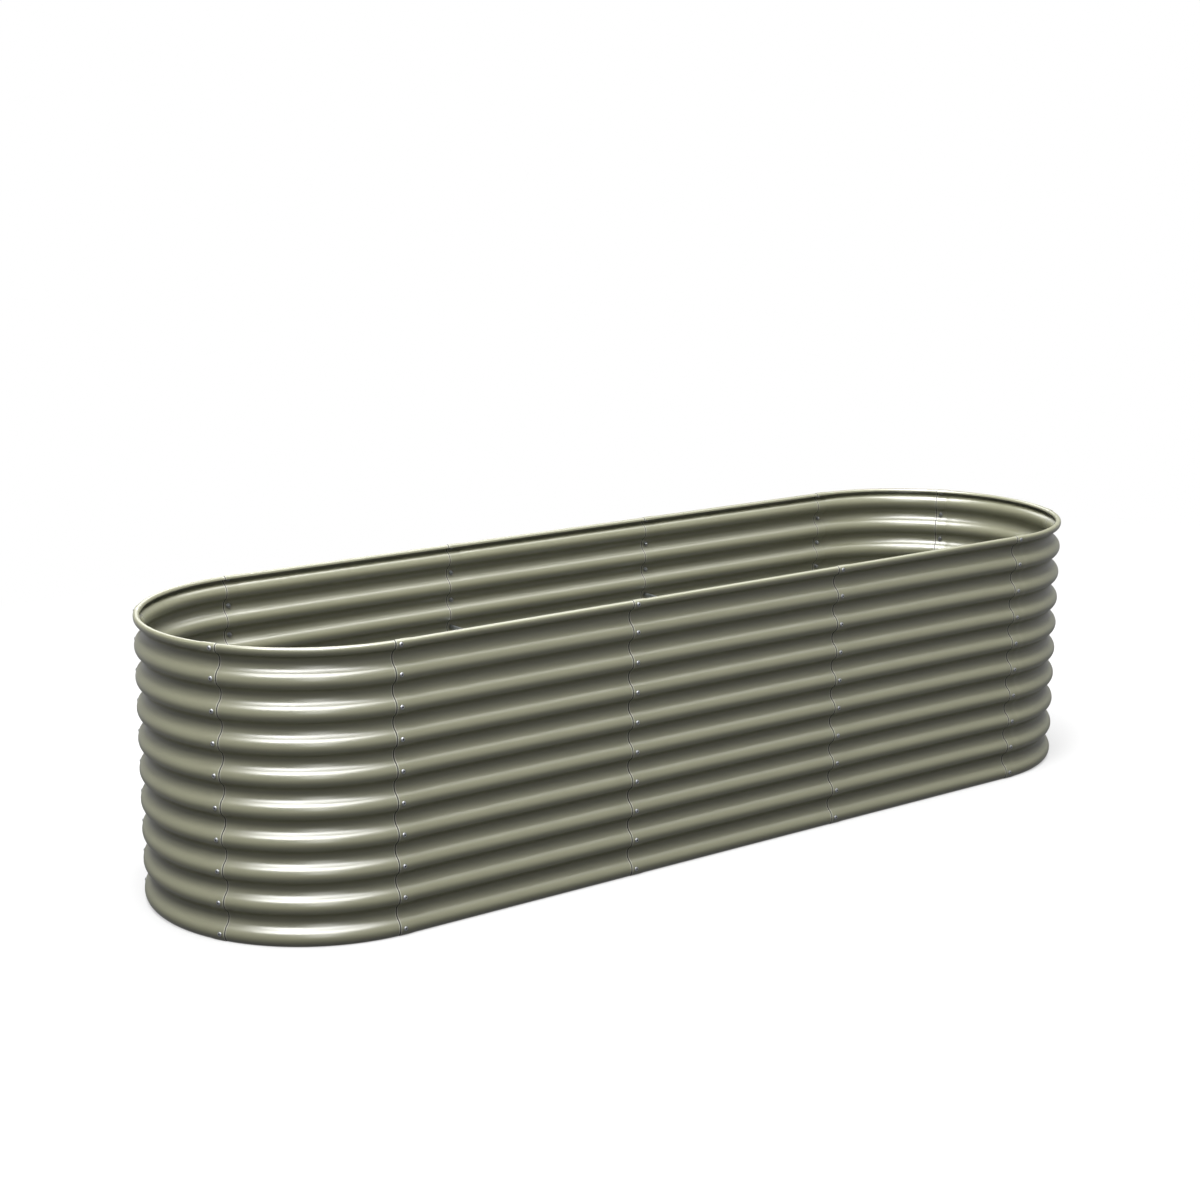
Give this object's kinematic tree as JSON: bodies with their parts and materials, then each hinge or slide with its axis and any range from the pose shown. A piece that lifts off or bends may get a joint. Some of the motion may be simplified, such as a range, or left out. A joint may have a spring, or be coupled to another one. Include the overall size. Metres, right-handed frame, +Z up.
{
  "type": "raised garden bed",
  "caption": "Long bottomless raised garden bed with round ends: corrugated coated-steel panels lapped and bolted at upright seams, rolled rim, tie rods across the inside.",
  "frame": {"origin": "centre of the plan, on the ground under the wall edge", "axes": "+X along the length, +Y across to the back, +Z up"},
  "size_m": [2.43, 0.718, 0.6008],
  "materials": {
    "coated_sheet": "satin",
    "plated_fasteners": "satin",
    "tie_rods": "satin"
  },
  "bodies": {
    "root": {"side_panel_front_1": "coated_sheet", "side_panel_front_2": "coated_sheet", "side_panel_front_3": "coated_sheet", "side_panel_back_1": "coated_sheet", "side_panel_back_2": "coated_sheet", "side_panel_back_3": "coated_sheet", "corner_panel_left_front": "coated_sheet", "corner_panel_left_back": "coated_sheet", "corner_panel_right_front": "coated_sheet", "corner_panel_right_back": "coated_sheet", "end_panel_left": "coated_sheet", "end_panel_right": "coated_sheet", "bolts_front_1": "plated_fasteners", "washers_front_1": "plated_fasteners", "nuts_front_1": "plated_fasteners", "bolts_front_2": "plated_fasteners", "washers_front_2": "plated_fasteners", "nuts_front_2": "plated_fasteners", "bolts_front_3": "plated_fasteners", "washers_front_3": "plated_fasteners", "nuts_front_3": "plated_fasteners", "bolts_front_4": "plated_fasteners", "washers_front_4": "plated_fasteners", "nuts_front_4": "plated_fasteners", "bolts_back_1": "plated_fasteners", "washers_back_1": "plated_fasteners", "nuts_back_1": "plated_fasteners", "bolts_back_2": "plated_fasteners", "washers_back_2": "plated_fasteners", "nuts_back_2": "plated_fasteners", "bolts_back_3": "plated_fasteners", "washers_back_3": "plated_fasteners", "nuts_back_3": "plated_fasteners", "bolts_back_4": "plated_fasteners", "washers_back_4": "plated_fasteners", "nuts_back_4": "plated_fasteners", "bolts_left_front": "plated_fasteners", "washers_left_front": "plated_fasteners", "nuts_left_front": "plated_fasteners", "bolts_left_back": "plated_fasteners", "washers_left_back": "plated_fasteners", "nuts_left_back": "plated_fasteners", "bolts_right_front": "plated_fasteners", "washers_right_front": "plated_fasteners", "nuts_right_front": "plated_fasteners", "bolts_right_back": "plated_fasteners", "washers_right_back": "plated_fasteners", "nuts_right_back": "plated_fasteners", "tie_rod_lower_1": "tie_rods", "tie_rod_lower_2": "tie_rods", "tie_rod_upper_1": "tie_rods", "tie_rod_upper_2": "tie_rods"}
  },
  "joints": []
}
